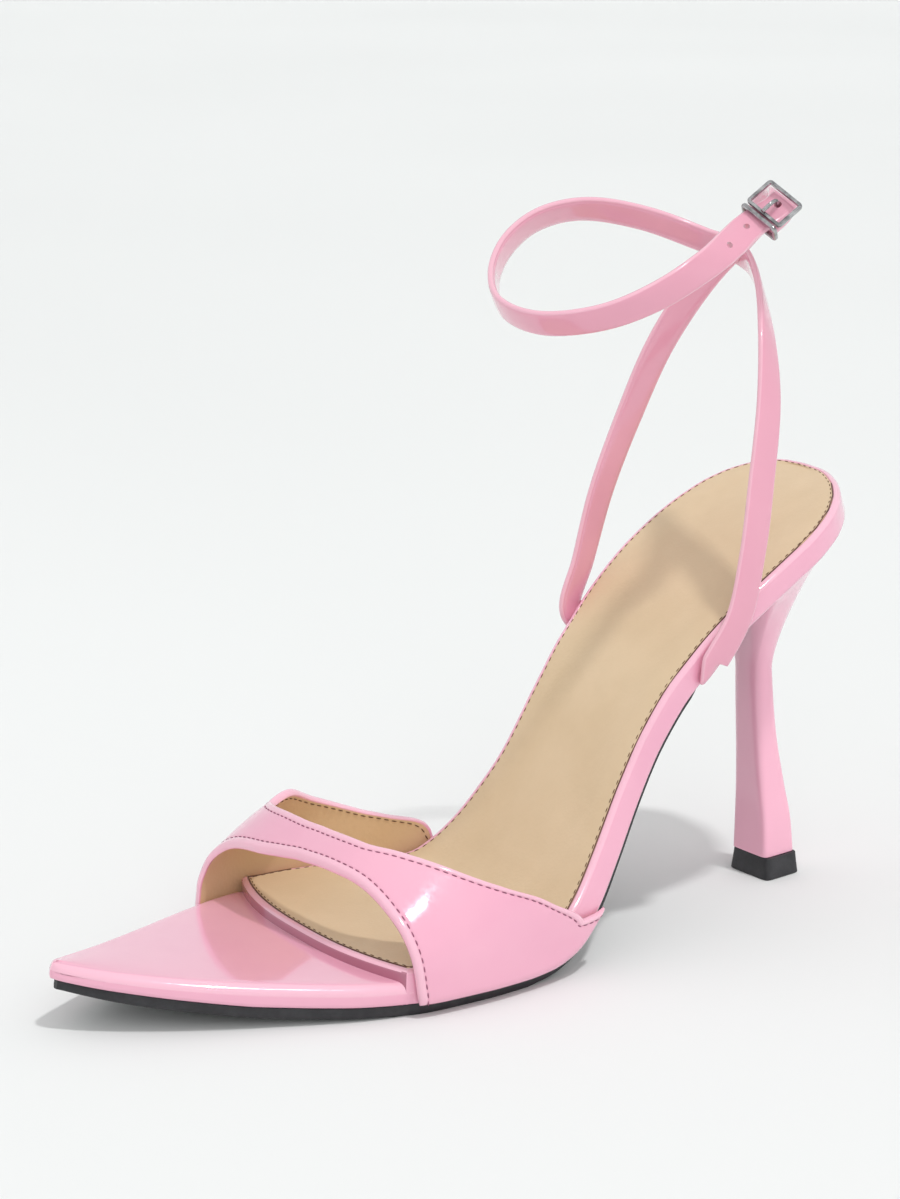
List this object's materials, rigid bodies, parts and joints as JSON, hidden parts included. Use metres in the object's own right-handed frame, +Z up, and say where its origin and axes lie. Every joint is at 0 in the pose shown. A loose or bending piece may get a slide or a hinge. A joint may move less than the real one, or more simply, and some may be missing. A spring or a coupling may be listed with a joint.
{
  "type": "strappy heeled sandal",
  "caption": "Left sandal with a sharply pointed glossy platform, a band over the toes, a crossed ankle strap with a small buckle and a slim high heel.",
  "frame": {"origin": "middle of the top lift's flat bottom, on the floor", "axes": "+X toward the toe, +Y toward the wearer's left, which is the outer side, +Z up"},
  "size_m": [0.2237, 0.0827, 0.1815],
  "materials": {
    "pink_patent_leather": "high gloss patent",
    "tan_leather": "smooth satin",
    "black_sole_rubber": "satin",
    "heel_wrap_leather": "gloss patent",
    "top_lift_rubber": "satin",
    "vamp_leather": "high gloss patent",
    "strap_leather": "gloss patent",
    "buckle_metal": "polished"
  },
  "bodies": {
    "root": {"footbed": "pink_patent_leather", "insole": "tan_leather", "outsole": "black_sole_rubber", "heel": "heel_wrap_leather", "top_lift": "top_lift_rubber", "vamp": "vamp_leather", "ankle_strap": "strap_leather", "buckle_frame": "buckle_metal", "strap_keeper": "buckle_metal", "prong": "buckle_metal"}
  },
  "joints": []
}
